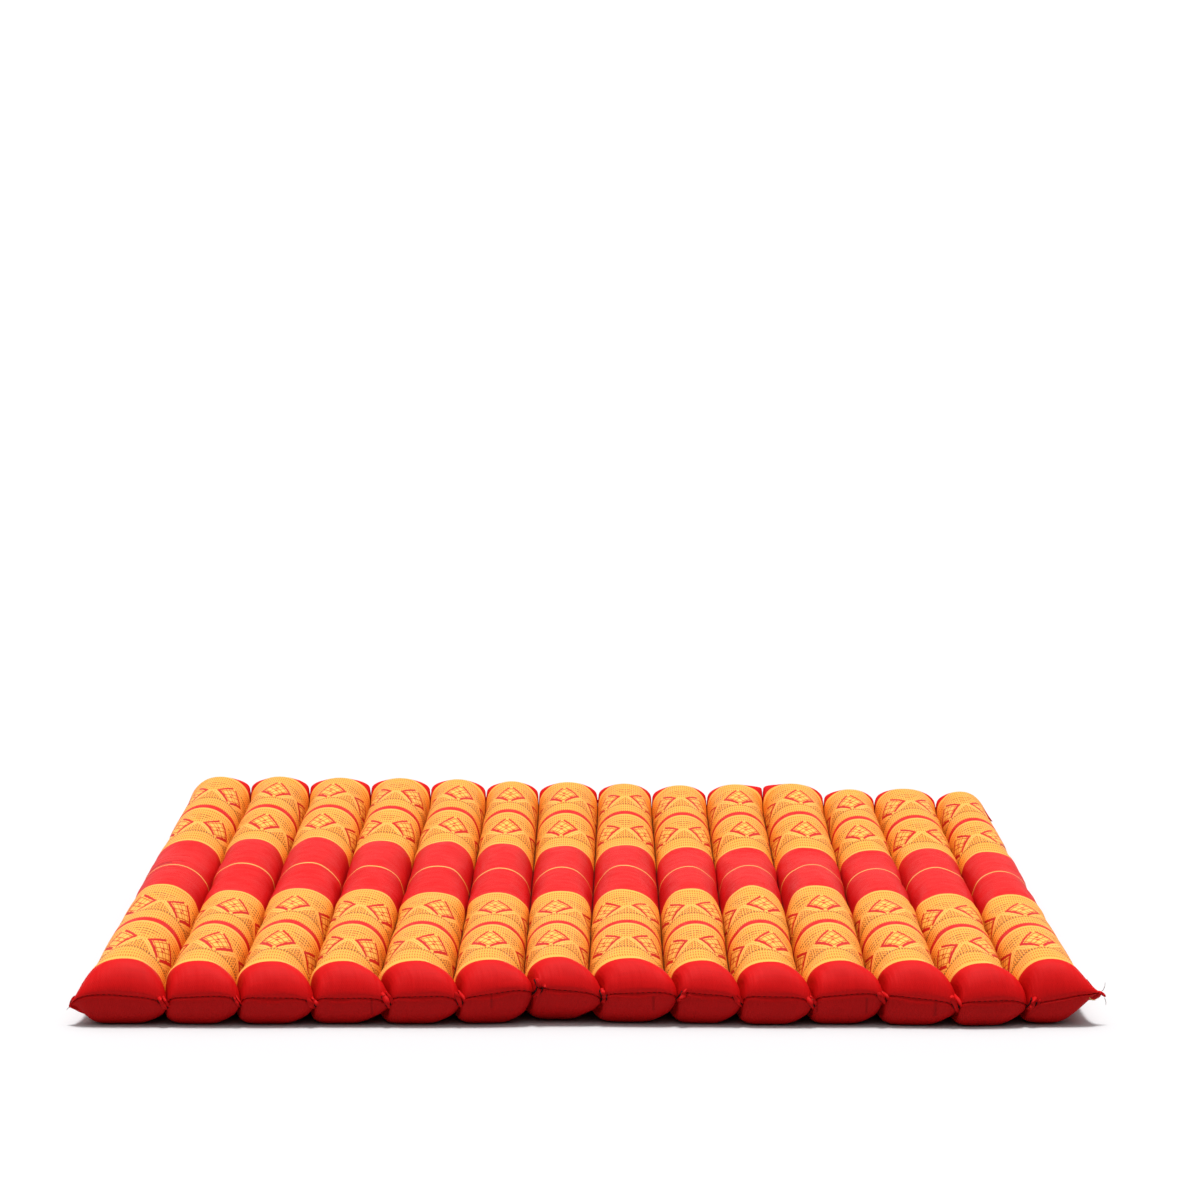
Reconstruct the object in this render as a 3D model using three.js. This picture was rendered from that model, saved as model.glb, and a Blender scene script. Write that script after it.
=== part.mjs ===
// Quilted floor mat: one filled cloth solid of fourteen stuffed channels that run from front to back.
// Millimetres, +Z up, X across the channels, Y along them, front end at -Y, resting on z = 0.
import * as THREE from 'three';

// Driving dimensions
const NOMINAL_LENGTH = 700;    // front end seam to back end seam
const STITCH_THICKNESS = 2;    // the two cloths pressed together along a sewn line
const SEAM_HEIGHT = 22;        // height of the sewn lines away from the ends
const SEAM_SETTLE = 60;        // length over which a sewn line reaches that height
const END_DRAW = 9;            // how far a pinch between two channels lies behind their ends
const TOP_CAP = 20;            // length over which the top rounds down to the end seam
const FLAT_SHARE = 0.45;       // part of a channel's width that lies flat on the floor
const MIDDLE_FULLNESS = 1.0;   // exponent of the arched section in the middle of a channel
const END_FULLNESS = 0.78;     // the plumper section at its ends
const FULLNESS_SETTLE = 90;    // length over which the section changes from one to the other
const EAR_REACH = 9;           // how far the pull of a corner ear spreads into the cloth
const PULL_REACH = 26;         // length over which a gather's sideways pull fades out

// Where the crest heights of the table below are measured, as shares of a channel's length
const CREST_STATIONS = { front: 0.025, near: 0.38, far: 0.62, back: 0.975 };

// Sewn lines from left to right; the first and last are the outer edges of the mat. The gather at a line's
// front end is pulled sideways by frontPull
const SEAMS = [
  { frontX: -370, backX: -371, frontZ: 21, backZ: 20, frontPull: 0 },
  { frontX: -312, backX: -315, frontZ: 19, backZ: 22, frontPull: 3 },
  { frontX: -261, backX: -261, frontZ: 21, backZ: 23, frontPull: 5 },
  { frontX: -208, backX: -205, frontZ: 20, backZ: 22, frontPull: 5 },
  { frontX: -159, backX: -150, frontZ: 20, backZ: 22, frontPull: 10 },
  { frontX: -104, backX: -99, frontZ: 21, backZ: 23, frontPull: 6 },
  { frontX: -52, backX: -51, frontZ: 28, backZ: 22, frontPull: 6 },
  { frontX: -5, backX: 3, frontZ: 23, backZ: 22, frontPull: 9 },
  { frontX: 52, backX: 52, frontZ: 25, backZ: 21, frontPull: 7 },
  { frontX: 100, backX: 102, frontZ: 21, backZ: 22, frontPull: 4 },
  { frontX: 150, backX: 153, frontZ: 20, backZ: 25, frontPull: 5 },
  { frontX: 201, backX: 208, frontZ: 24, backZ: 22, frontPull: 5 },
  { frontX: 253, backX: 254, frontZ: 18, backZ: 20, frontPull: 6 },
  { frontX: 302, backX: 309, frontZ: 19, backZ: 21, frontPull: 9 },
  { frontX: 356, backX: 353, frontZ: 22, backZ: 18, frontPull: 0 },
];

// Channels from left to right: crest heights, the two end seams, and how far the underside rounds up in front
const CHANNELS = [
  { front: 47, near: 44, far: 43.5, back: 47.5, frontEnd: -350, backEnd: 366, toe: 14 },
  { front: 45.5, near: 40.5, far: 45.5, back: 48, frontEnd: -351, backEnd: 363, toe: 14 },
  { front: 45, near: 42, far: 45.5, back: 46.5, frontEnd: -351, backEnd: 365, toe: 14 },
  { front: 45, near: 41, far: 43.5, back: 46.5, frontEnd: -350, backEnd: 364, toe: 14 },
  { front: 45.5, near: 39.5, far: 43, back: 46, frontEnd: -351, backEnd: 360, toe: 14 },
  { front: 46, near: 39.5, far: 42, back: 45.5, frontEnd: -350, backEnd: 353, toe: 15 },
  { front: 47.5, near: 40.5, far: 40.5, back: 45.5, frontEnd: -347, backEnd: 349, toe: 25 },
  { front: 47, near: 41.5, far: 41.5, back: 44.5, frontEnd: -349, backEnd: 347, toe: 18 },
  { front: 45.5, near: 43, far: 41, back: 43.5, frontEnd: -350, backEnd: 343, toe: 15 },
  { front: 45, near: 44.5, far: 40, back: 44, frontEnd: -352, backEnd: 345, toe: 12 },
  { front: 45.5, near: 45, far: 39.5, back: 44.5, frontEnd: -351, backEnd: 346, toe: 13 },
  { front: 46.5, near: 43, far: 39.5, back: 41.5, frontEnd: -353, backEnd: 334, toe: 12 },
  { front: 44.5, near: 40.5, far: 39.5, back: 42, frontEnd: -354, backEnd: 335, toe: 11 },
  { front: 47, near: 40, far: 39.5, back: 41.5, frontEnd: -350, backEnd: 325, toe: 14 },
];

// Corners drawn out to a pointed ear: the sewn line and end they belong to, and how far the tip moves
const EARS = [
  { seam: 0, atFront: true, across: -7, along: 2, up: -3 },
  { seam: 14, atFront: true, across: 8, along: 2, up: 2 },
  { seam: 0, atFront: false, across: -4, along: -2, up: -4 },
  { seam: 14, atFront: false, across: 8, along: -6, up: -6 },
];

// Rows of points along a channel, as distances from either end, and columns across one channel
const ROW_DISTANCES = [0, 1.5, 5, 11, 20, 34, 90, 175, 262];
const TOP_SEGMENTS = 8;
const UNDER_STATIONS = [-1, -0.82, -FLAT_SHARE, FLAT_SHARE, 0.82, 1];
const UNDER_SEGMENTS = UNDER_STATIONS.length - 1;

const lerp = THREE.MathUtils.lerp;
const clamp = THREE.MathUtils.clamp;

/** Shares of the channel's length at which the rows of points lie, from front to back. */
function rowShares() {
  const front = ROW_DISTANCES.map((distance) => distance / NOMINAL_LENGTH);
  const back = front.map((share) => 1 - share).reverse();
  return [...front, 0.5, ...back];
}

/** Distance in millimetres from the nearer end. */
function endDistance(share) {
  return Math.min(share, 1 - share) * NOMINAL_LENGTH;
}

/** Rounding of an end, from 0 on the end seam to 1 where the full section begins. */
function capRise(distance, capLength) {
  const short = 1 - clamp(distance / capLength, 0, 1);
  return Math.sqrt(1 - short * short);
}

/** Y of a sewn line's end, drawn in behind the channels that it parts. */
function seamEndY(line, atFront) {
  const neighbours = [CHANNELS[line - 1], CHANNELS[line]].filter((channel) => channel !== undefined);
  if (atFront) {
    return Math.max(...neighbours.map((channel) => channel.frontEnd)) + END_DRAW;
  }
  return Math.min(...neighbours.map((channel) => channel.backEnd)) - END_DRAW;
}

/** Y of a channel's rounded end at a station across it, from -1 on the left seam to 1 on the right. */
function channelEndY(index, across, atFront) {
  const left = seamEndY(index, atFront);
  const right = seamEndY(index + 1, atFront);
  const tip = atFront ? CHANNELS[index].frontEnd : CHANNELS[index].backEnd;
  const reach = tip - (left + right) / 2;
  return lerp(left, right, (1 + across) / 2) + reach * (1 - across * across);
}

/** X and Z of a sewn line at a share of its length. */
function seamAt(line, share) {
  const seam = SEAMS[line];
  const settle = 1 - clamp(endDistance(share) / SEAM_SETTLE, 0, 1);
  const endZ = share < 0.5 ? seam.frontZ : seam.backZ;
  const pull = seam.frontPull * (1 - THREE.MathUtils.smoothstep(share * NOMINAL_LENGTH, 0, PULL_REACH));
  return { x: lerp(seam.frontX, seam.backX, share) + pull, z: lerp(SEAM_HEIGHT, endZ, settle * settle) };
}

/** Height of a channel's crest, eased between its four measured stations. */
function crestHeight(index, share) {
  const names = Object.keys(CREST_STATIONS);
  const row = CHANNELS[index];
  for (let k = 1; k < names.length; k += 1) {
    const from = CREST_STATIONS[names[k - 1]];
    const to = CREST_STATIONS[names[k]];
    if (share <= to) {
      return lerp(row[names[k - 1]], row[names[k]], THREE.MathUtils.smoothstep(share, from, to));
    }
  }
  return row.back;
}

/** Moves a point towards the tip of each ear that is near it, but never below the floor. */
function drawToEars(point, share) {
  for (const ear of EARS) {
    const seam = SEAMS[ear.seam];
    const sideX = lerp(seam.frontX, seam.backX, share);
    const fromEnd = (ear.atFront ? share : 1 - share) * NOMINAL_LENGTH;
    const pull = Math.exp(-(Math.abs(point.x - sideX) + fromEnd) / EAR_REACH);
    point.x += ear.across * pull;
    point.y += ear.along * pull;
    point.z = Math.max(point.z + ear.up * pull, 0);
  }
  return point;
}

/** A place on the plan of a channel: x, y and the height of the sewn plane there. */
function planPoint(index, across, share) {
  const left = seamAt(index, share);
  const right = seamAt(index + 1, share);
  const part = (1 + across) / 2;
  const y = lerp(channelEndY(index, across, true), channelEndY(index, across, false), share);
  return new THREE.Vector3(lerp(left.x, right.x, part), y, lerp(left.z, right.z, part));
}

/** A point of the crowned top of a channel. */
function topPoint(index, column, share) {
  const angle = (Math.PI * column) / TOP_SEGMENTS;
  const point = planPoint(index, -Math.cos(angle), share);
  const distance = endDistance(share);
  const fullness = lerp(END_FULLNESS, MIDDLE_FULLNESS, clamp(distance / FULLNESS_SETTLE, 0, 1));
  const arch = Math.max(Math.sin(angle), 0) ** fullness;
  const rise = capRise(distance, TOP_CAP);
  const base = point.z + STITCH_THICKNESS / 2;
  point.z = base + (crestHeight(index, share) - base) * arch * rise;
  return drawToEars(point, share);
}

/** A point of the underside of a channel, flat on the floor in its middle strip. */
function underPoint(index, column, share) {
  const across = UNDER_STATIONS[column];
  const point = planPoint(index, across, share);
  const side = Math.max(Math.abs(across) - FLAT_SHARE, 0) / (1 - FLAT_SHARE);
  const depth = Math.sqrt(1 - side * side);
  const rise = capRise(endDistance(share), CHANNELS[index].toe);
  point.z = (point.z - STITCH_THICKNESS / 2) * (1 - depth * rise);
  return drawToEars(point, share);
}

/** One row of points from the left edge to the right edge; neighbouring channels share the point on their seam. */
function crossRow(pointOf, segments, share) {
  const row = [];
  CHANNELS.forEach((channel, index) => {
    const last = index === CHANNELS.length - 1 ? segments : segments - 1;
    for (let column = 0; column <= last; column += 1) {
      row.push(pointOf(index, column, share));
    }
  });
  return row;
}

/** Collects points and faces of a closed surface. */
class Shell {
  constructor() {
    this.points = [];
    this.faces = [];
  }

  /** Adds rows of points and returns their numbers. */
  addRows(rows) {
    return rows.map((row) => row.map((point) => this.points.push(point) - 1));
  }

  /** Joins a grid of points by pairs of triangles, facing up or down. */
  addGrid(grid, facingUp) {
    for (let r = 0; r + 1 < grid.length; r += 1) {
      for (let c = 0; c + 1 < grid[r].length; c += 1) {
        this.addQuad(grid[r][c], grid[r][c + 1], grid[r + 1][c + 1], grid[r + 1][c], facingUp);
      }
    }
  }

  addQuad(a, b, c, d, keepOrder) {
    this.addTriangle(a, b, c, keepOrder);
    this.addTriangle(a, c, d, keepOrder);
  }

  addTriangle(a, b, c, keepOrder) {
    this.faces.push(...(keepOrder ? [a, b, c] : [a, c, b]));
  }

  /** Closes the strip between two lines of points that run the same way but are divided differently. */
  addStrip(upper, lower, keepOrder) {
    let i = 0;
    let j = 0;
    while (i < upper.length - 1 || j < lower.length - 1) {
      const upperNext = i < upper.length - 1 ? this.points[upper[i + 1]].x : Infinity;
      const lowerNext = j < lower.length - 1 ? this.points[lower[j + 1]].x : Infinity;
      if (upperNext <= lowerNext) {
        this.addTriangle(upper[i], lower[j], upper[i + 1], keepOrder);
        i += 1;
      } else {
        this.addTriangle(lower[j], lower[j + 1], upper[i], keepOrder);
        j += 1;
      }
    }
  }

  toGeometry() {
    const geometry = new THREE.BufferGeometry().setFromPoints(this.points);
    geometry.setIndex(this.faces);
    return geometry;
  }
}

/** The whole mat: crowned top, flat-bottomed underside and the seam all round. */
function matGeometry() {
  const shell = new Shell();
  const shares = rowShares();
  const top = shell.addRows(shares.map((share) => crossRow(topPoint, TOP_SEGMENTS, share)));
  const under = shell.addRows(shares.map((share) => crossRow(underPoint, UNDER_SEGMENTS, share)));
  shell.addGrid(top, true);
  shell.addGrid(under, false);
  shell.addStrip(top[0], under[0], true);
  shell.addStrip(top.at(-1), under.at(-1), false);
  for (let r = 0; r + 1 < shares.length; r += 1) {
    shell.addQuad(under[r][0], top[r][0], top[r + 1][0], under[r + 1][0], true);
    shell.addQuad(under[r].at(-1), top[r].at(-1), top[r + 1].at(-1), under[r + 1].at(-1), false);
  }
  return shell.toGeometry();
}

/** Moves a geometry so that the middle of its footprint is the origin and its lowest point is at z = 0. */
function standOnOrigin(geometry) {
  geometry.computeBoundingBox();
  const { min, max } = geometry.boundingBox;
  geometry.translate(-(min.x + max.x) / 2, -(min.y + max.y) / 2, -min.z);
  geometry.computeVertexNormals();
  return geometry;
}

const wovenCotton = new THREE.MeshStandardMaterial({ color: '#f08a35', roughness: 0.85, metalness: 0 });

const mat = new THREE.Mesh(standOnOrigin(matGeometry()), wovenCotton);
mat.name = 'quilted_mat';

const zabuton = new THREE.Group();
zabuton.add(mat);

export default zabuton;
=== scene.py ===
"""Quilted floor mat: fourteen stuffed channels of figured cotton over a plain red underside.

The cover starts as two flat cloth panels. They are sewn along the channel lines, stuffed by a cloth
simulation, and dressed with a woven chart that follows the cloth. Sizes are millimetres until a mesh is
written, because that is how such a mat is cut and sewn.
"""

import logging
import math
from dataclasses import dataclass, field
from enum import Enum
from typing import Iterable, Mapping, Sequence

import bmesh
import bpy
import numpy as np
from mathutils import Matrix, Vector

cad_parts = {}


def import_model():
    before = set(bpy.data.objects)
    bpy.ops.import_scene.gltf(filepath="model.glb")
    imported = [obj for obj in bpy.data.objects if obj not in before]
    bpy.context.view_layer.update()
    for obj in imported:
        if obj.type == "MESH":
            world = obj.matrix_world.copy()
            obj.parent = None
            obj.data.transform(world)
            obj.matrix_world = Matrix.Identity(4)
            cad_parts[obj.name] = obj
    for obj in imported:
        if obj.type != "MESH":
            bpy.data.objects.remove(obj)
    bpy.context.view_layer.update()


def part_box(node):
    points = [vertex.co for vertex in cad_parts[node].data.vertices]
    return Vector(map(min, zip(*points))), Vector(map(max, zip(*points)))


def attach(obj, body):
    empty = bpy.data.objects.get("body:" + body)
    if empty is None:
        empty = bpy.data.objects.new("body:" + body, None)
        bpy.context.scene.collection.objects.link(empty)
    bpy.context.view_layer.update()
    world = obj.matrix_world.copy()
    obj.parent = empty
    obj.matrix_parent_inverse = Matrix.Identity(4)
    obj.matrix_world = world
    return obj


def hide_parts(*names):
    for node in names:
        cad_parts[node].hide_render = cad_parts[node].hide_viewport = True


LOG = logging.getLogger("floor_mat")
MM = 0.001
BODY = "root"
NODE = "quilted_mat"
TINY = 1e-9
ON_FLOOR = 1e-5

Colour = tuple[float, float, float]

# Darker than the top cloth's red (0.50): painted shade for the lower lobes, which face the floor.
SHADED_UNDERSIDE_RED: Colour = (0.42, 0.001, 0.0015)
# Darker than the top cloth's red (0.50): painted shade in the gathers and ear folds.
SHADED_GATHER_RED: Colour = (0.44, 0.001, 0.0015)
PALE_THREAD: Colour = (0.42, 0.42, 0.40)
GOLD_THREAD: Colour = (0.60, 0.34, 0.09)


class End(Enum):
    """The two ends of a channel."""

    FRONT = "front"
    BACK = "back"


class Panel(Enum):
    """The two cloths of the cover, with the number of their material slot."""

    TOP = 0
    UNDER = 1


# Form of the mat

@dataclass(frozen=True)
class SewnLine:
    """A line that parts two channels, or an outer edge.

    It has its x and height at both ends, the sideways pull of its front gather, and the height up to which
    the channels beside it press together at the back.
    """

    front_x: float
    back_x: float
    front_z: float
    back_z: float
    front_pull: float
    back_touch: float


@dataclass(frozen=True)
class Channel:
    """One stuffed channel.

    It has its crest heights, its two ends, the rounding underneath, the rise of its end seam, where the
    motifs fall at both ends, and where the gold line crosses it.
    """

    front: float
    near: float
    far: float
    back: float
    front_end: float
    back_end: float
    toe: float
    seam_lift: float
    motif_front: float
    motif_back: float
    gold: float


@dataclass(frozen=True)
class Ear:
    """A corner drawn out to a point: its outer edge, its end and how far the tip is moved."""

    left: bool
    end: End
    across: float
    along: float
    up: float


SEWN_LINES = (
    SewnLine(-370, -371, 21, 20, 0, 0),
    SewnLine(-312, -315, 19, 22, 5, 39),
    SewnLine(-261, -261, 21, 23, 7, 39),
    SewnLine(-208, -205, 20, 22, 7, 39),
    SewnLine(-159, -150, 20, 22, 12, 38),
    SewnLine(-104, -99, 21, 23, 8, 37),
    SewnLine(-52, -51, 28, 22, 8, 36),
    SewnLine(-5, 3, 23, 22, 11, 35),
    SewnLine(52, 52, 25, 21, 8, 34),
    SewnLine(100, 102, 21, 22, 6, 33),
    SewnLine(150, 153, 20, 25, 7, 43),
    SewnLine(201, 208, 24, 22, 7, 34),
    SewnLine(253, 254, 18, 20, 8, 31),
    SewnLine(302, 309, 19, 21, 9, 31),
    SewnLine(356, 353, 22, 18, 0, 0),
)

CHANNELS = (
    Channel(47, 44, 43.5, 47.5, -350, 366, 14, 6, -0.30, -0.50, -15),
    Channel(45.5, 40.5, 45.5, 48, -351, 363, 14, 7.5, 0.23, 0.07, -1),
    Channel(45, 42, 45.5, 46.5, -351, 365, 14, 6, 0.0, -0.10, -5),
    Channel(45, 41, 43.5, 46.5, -350, 364, 14, 6, 0.55, 0.50, -11),
    Channel(45.5, 39.5, 43, 46, -351, 360, 14, 7, 0.35, 0.12, -7),
    Channel(46, 39.5, 42, 45.5, -350, 353, 15, 5.3, 0.0, 0.0, -9),
    Channel(47.5, 40.5, 40.5, 45.5, -347, 349, 25, 5.3, -0.10, -0.08, -7),
    Channel(47, 41.5, 41.5, 44.5, -349, 347, 18, 5.7, 0.50, 0.50, -3),
    Channel(45.5, 43, 41, 43.5, -350, 343, 15, 5.7, 0.42, 0.50, -4),
    Channel(45, 44.5, 40, 44, -352, 345, 12, 7, 0.19, 0.05, 0),
    Channel(45.5, 45, 39.5, 44.5, -351, 346, 13, 6.8, 0.0, 0.08, 0),
    Channel(46.5, 43, 39.5, 41.5, -353, 334, 12, 5.3, -0.09, -0.08, 0),
    Channel(44.5, 40.5, 39.5, 42, -354, 335, 11, 6.4, 0.35, 0.50, 6),
    Channel(47, 40, 39.5, 41.5, -350, 325, 14, 2.2, -0.05, 0.45, -4),
)

EARS = (
    Ear(True, End.FRONT, -7, 2, -7),
    Ear(False, End.FRONT, 8, 2, 2),
    Ear(True, End.BACK, -4, -2, -4),
    Ear(False, End.BACK, 8, -6, -6),
)


@dataclass(frozen=True)
class MatForm:
    """The stuffed form of the mat, as functions of a place on its cloth."""

    length: float = 700.0
    stitch_thickness: float = 1.0
    seam_height: float = 16.5
    seam_settle: float = 60.0
    pinch_drop: float = 4.5
    lift_left: float = 14.0
    lift_right: float = 6.0
    end_draw: float = 4.5
    end_square: float = 12.0
    top_cap: float = 20.0
    back_cap: float = 22.0
    flat_share: float = 0.45
    ear_reach: float = 9.0
    pull_reach: float = 26.0
    seam_sink: float = 1.2
    contact_share: float = 0.993
    contact_middle: float = 0.5
    contact_end: float = 9.0
    contact_settle: float = 70.0
    touch_start: float = 18.5
    touch_run: float = 6.0
    section_power: float = 2.4
    section_shoulder: float = 0.5
    cap_power: float = 2.2
    cap_shoulder: float = 0.58
    under_power: float = 1.9
    right_power: float = 1.2
    right_flat: float = 0.2
    under_contact: float = 5.0
    crest_stations: tuple[float, float, float, float] = (0.025, 0.38, 0.62, 0.975)

    @staticmethod
    def lerp(start: np.ndarray, stop: np.ndarray, part: np.ndarray) -> np.ndarray:
        """Straight run from start to stop."""
        return start + (stop - start) * part

    @staticmethod
    def eased(part: np.ndarray) -> np.ndarray:
        """Ease a run from 0 to 1 in and out."""
        held = np.clip(part, 0, 1)
        return held * held * (3 - 2 * held)

    def end_distance(self, share: np.ndarray) -> np.ndarray:
        """Distance from the nearer end along the cloth."""
        return np.minimum(share, 1 - share) * self.length

    def cap_rise(self, distance: np.ndarray, cap: np.ndarray | float) -> np.ndarray:
        """Rounding of a pillow end, 0 on its seam and 1 from the full section on."""
        short = 1 - np.clip(distance / cap, 0, 1)
        return (1 - short**self.cap_power) ** self.cap_shoulder

    def seam_end_y(self, line: int, end: End) -> float:
        """Y of a sewn line's end, drawn in behind the channels beside it.

        Args:
            line: Number of the sewn line.
            end: Which end is asked for.

        Returns:
            The y of the pinch there.
        """
        beside = [CHANNELS[i] for i in (line - 1, line) if 0 <= i < len(CHANNELS)]
        if end is End.FRONT:
            return max(channel.front_end for channel in beside) + self.end_draw
        return min(channel.back_end for channel in beside) - self.end_draw

    def end_y(self, channel: np.ndarray, across: np.ndarray, end: End) -> np.ndarray:
        """Y of the rounded end of a channel at a station across it, -1 to 1."""
        seams = np.array([self.seam_end_y(line, end) for line in range(len(SEWN_LINES))])
        name = "front_end" if end is End.FRONT else "back_end"
        tips = np.array([getattr(row, name) for row in CHANNELS])
        left, right = seams[channel], seams[channel + 1]
        reach = tips[channel] - (left + right) / 2
        return self.lerp(left, right, (1 + across) / 2) + reach * (1 - np.abs(across) ** self.end_square)

    def seam_xz(self, line: np.ndarray, share: np.ndarray) -> tuple[np.ndarray, np.ndarray]:
        """X and height of a sewn line at a share of its length."""
        table = np.array([(s.front_x, s.back_x, s.front_z, s.back_z, s.front_pull) for s in SEWN_LINES])
        front_x, back_x, front_z, back_z, front_pull = table[line].T
        inner = (line > 0) & (line < len(CHANNELS))
        end_z = np.where(share < 0.5, front_z, back_z) - self.pinch_drop * inner
        pull = front_pull * (1 - self.eased(share * self.length / self.pull_reach))
        x = self.lerp(front_x, back_x, share) + pull
        return x, self.lerp(self.seam_height, end_z, self.settled(share))

    def settled(self, share: np.ndarray) -> np.ndarray:
        """How much of its own height a seam has, 1 at the ends and 0 further in."""
        return (1 - np.clip(self.end_distance(share) / self.seam_settle, 0, 1)) ** 2

    def crest(self, channel: np.ndarray, share: np.ndarray) -> np.ndarray:
        """Height of the crest, eased between the four measured stations."""
        heights = np.array([(c.front, c.near, c.far, c.back) for c in CHANNELS])[channel]
        result = heights[..., 0].astype(float)
        for k in range(1, len(self.crest_stations)):
            low, high = self.crest_stations[k - 1], self.crest_stations[k]
            part = self.eased((share - low) / (high - low))
            result = result + (heights[..., k] - heights[..., k - 1]) * part
        return result

    def plan(self, channel: np.ndarray, across: np.ndarray, share: np.ndarray) -> np.ndarray:
        """Points of the sewn plane: x, y and the height of the seams there."""
        left_x, left_z = self.seam_xz(channel, share)
        right_x, right_z = self.seam_xz(channel + 1, share)
        part = (1 + across) / 2
        front = self.end_y(channel, across, End.FRONT)
        back = self.end_y(channel, across, End.BACK)
        y = self.lerp(front, back, share)
        lifts = np.array([row.seam_lift for row in CHANNELS])[channel]
        lift = lifts * (1 - np.abs(across) ** np.where(across > 0, self.lift_right, self.lift_left))
        z = self.lerp(left_z, right_z, part) + lift * self.settled(share)
        return np.stack([self.lerp(left_x, right_x, part), y, z], axis=-1)

    def top(self, channel: np.ndarray, across: np.ndarray, share: np.ndarray) -> np.ndarray:
        """Points of the crowned top cloth.

        Neighbouring channels press together for a little way above their sewn line, more so near the
        ends, and the outer edges of the mat are round.
        """
        points = self.plan(channel, across, share)
        distance = self.end_distance(share)
        stitch = points[..., 2] + self.stitch_thickness / 2
        crest = self.crest(channel, share)
        near_end = 1 - np.clip(distance / self.contact_settle, 0, 1)
        low = stitch + self.contact_middle
        touches = np.array([line.back_touch for line in SEWN_LINES])[channel + (across > 0)]
        rise = self.eased((self.touch_start - distance) / self.touch_run)
        back_contact = self.lerp(low, np.maximum(touches, low), rise)
        contact = np.where(share < 0.5, low + self.contact_end * near_end**2, back_contact)
        inner = np.clip(np.abs(across) / self.contact_share, 0, 1)
        arch = (1 - inner**self.section_power) ** self.section_shoulder
        touch = np.clip((1 - np.abs(across)) / (1 - self.contact_share), 0, 1)
        pressed = stitch + (contact - stitch) * touch + (crest - contact) * arch
        rounded = stitch + (crest - stitch) * np.sqrt(np.clip(1 - across**2, 0, 1))
        section = np.where(self.free(channel, across), rounded, pressed)
        cap = np.where(share < 0.5, self.top_cap, self.back_cap)
        points[..., 2] = stitch + (section - stitch) * self.cap_rise(distance, cap)
        return self.drawn_to_ears(points, share)

    def under(self, channel: np.ndarray, across: np.ndarray, share: np.ndarray) -> np.ndarray:
        """Points of the underside, flat on the floor in the middle strip of each channel.

        Near the ends the channels press together almost down to the floor.
        """
        points = self.plan(channel, across, share)
        distance = self.end_distance(share)
        stitch = points[..., 2] - self.stitch_thickness / 2
        reach = np.abs(across)
        near_end = 1 - np.clip(distance / self.contact_settle, 0, 1)
        contact = self.lerp(stitch - self.contact_middle, self.under_contact, near_end)
        side = np.clip((reach - self.flat_share) / (self.contact_share - self.flat_share), 0, 1)
        touch = np.clip((1 - reach) / (1 - self.contact_share), 0, 1)
        pressed = stitch + (contact - stitch) * touch - contact * (1 - side**self.under_power)
        flat = np.where(across > 0, self.right_flat, self.flat_share)
        power = np.where(across > 0, self.right_power, self.under_power)
        free_side = np.clip((reach - flat) / (1 - flat), 0, 1)
        rounded = stitch * (1 - (1 - free_side**power) ** (1 / power))
        pressed = np.where(side == 0, 0, np.maximum(pressed, 0))
        section = np.where(self.free(channel, across), rounded, pressed)
        toes = np.array([row.toe for row in CHANNELS])[channel]
        points[..., 2] = stitch + (section - stitch) * self.cap_rise(distance, toes)
        pulls = np.array([line.front_pull for line in SEWN_LINES])
        pull = self.lerp(pulls[channel], pulls[channel + 1], (1 + across) / 2)
        hold = 1 - self.eased(share * self.length / self.pull_reach)
        points[..., 0] -= pull * hold * (1 - points[..., 2] / stitch)
        return self.drawn_to_ears(points, share)

    @staticmethod
    def free(channel: np.ndarray, across: np.ndarray) -> np.ndarray:
        """Where a channel has no neighbour: the outer halves of the first and the last."""
        return ((channel == 0) & (across < 0)) | ((channel == len(CHANNELS) - 1) & (across > 0))

    def edge_seam(self, channel: np.ndarray, across: np.ndarray, share: np.ndarray) -> np.ndarray:
        """Points of the seam all round, sunk a little between the two cloths."""
        points = self.plan(channel, across, share)
        along = np.where(share == 0, 1.0, 0.0) - np.where(share == 1, 1.0, 0.0)
        points[..., 1] += along * self.seam_sink
        return self.drawn_to_ears(points, share)

    def drawn_to_ears(self, points: np.ndarray, share: np.ndarray) -> np.ndarray:
        """Move points near a corner towards the tip of its ear, but never below the floor."""
        for ear in EARS:
            edge = SEWN_LINES[0 if ear.left else -1]
            from_end = (share if ear.end is End.FRONT else 1 - share) * self.length
            away = np.abs(points[..., 0] - self.lerp(edge.front_x, edge.back_x, share))
            pull = np.exp(-(away + from_end) / self.ear_reach)
            points = points + pull[..., None] * np.array([ear.across, ear.along, ear.up])
            points[..., 2] = np.maximum(points[..., 2], 0)
        return points


FORM = MatForm()


# Shader expressions

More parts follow.
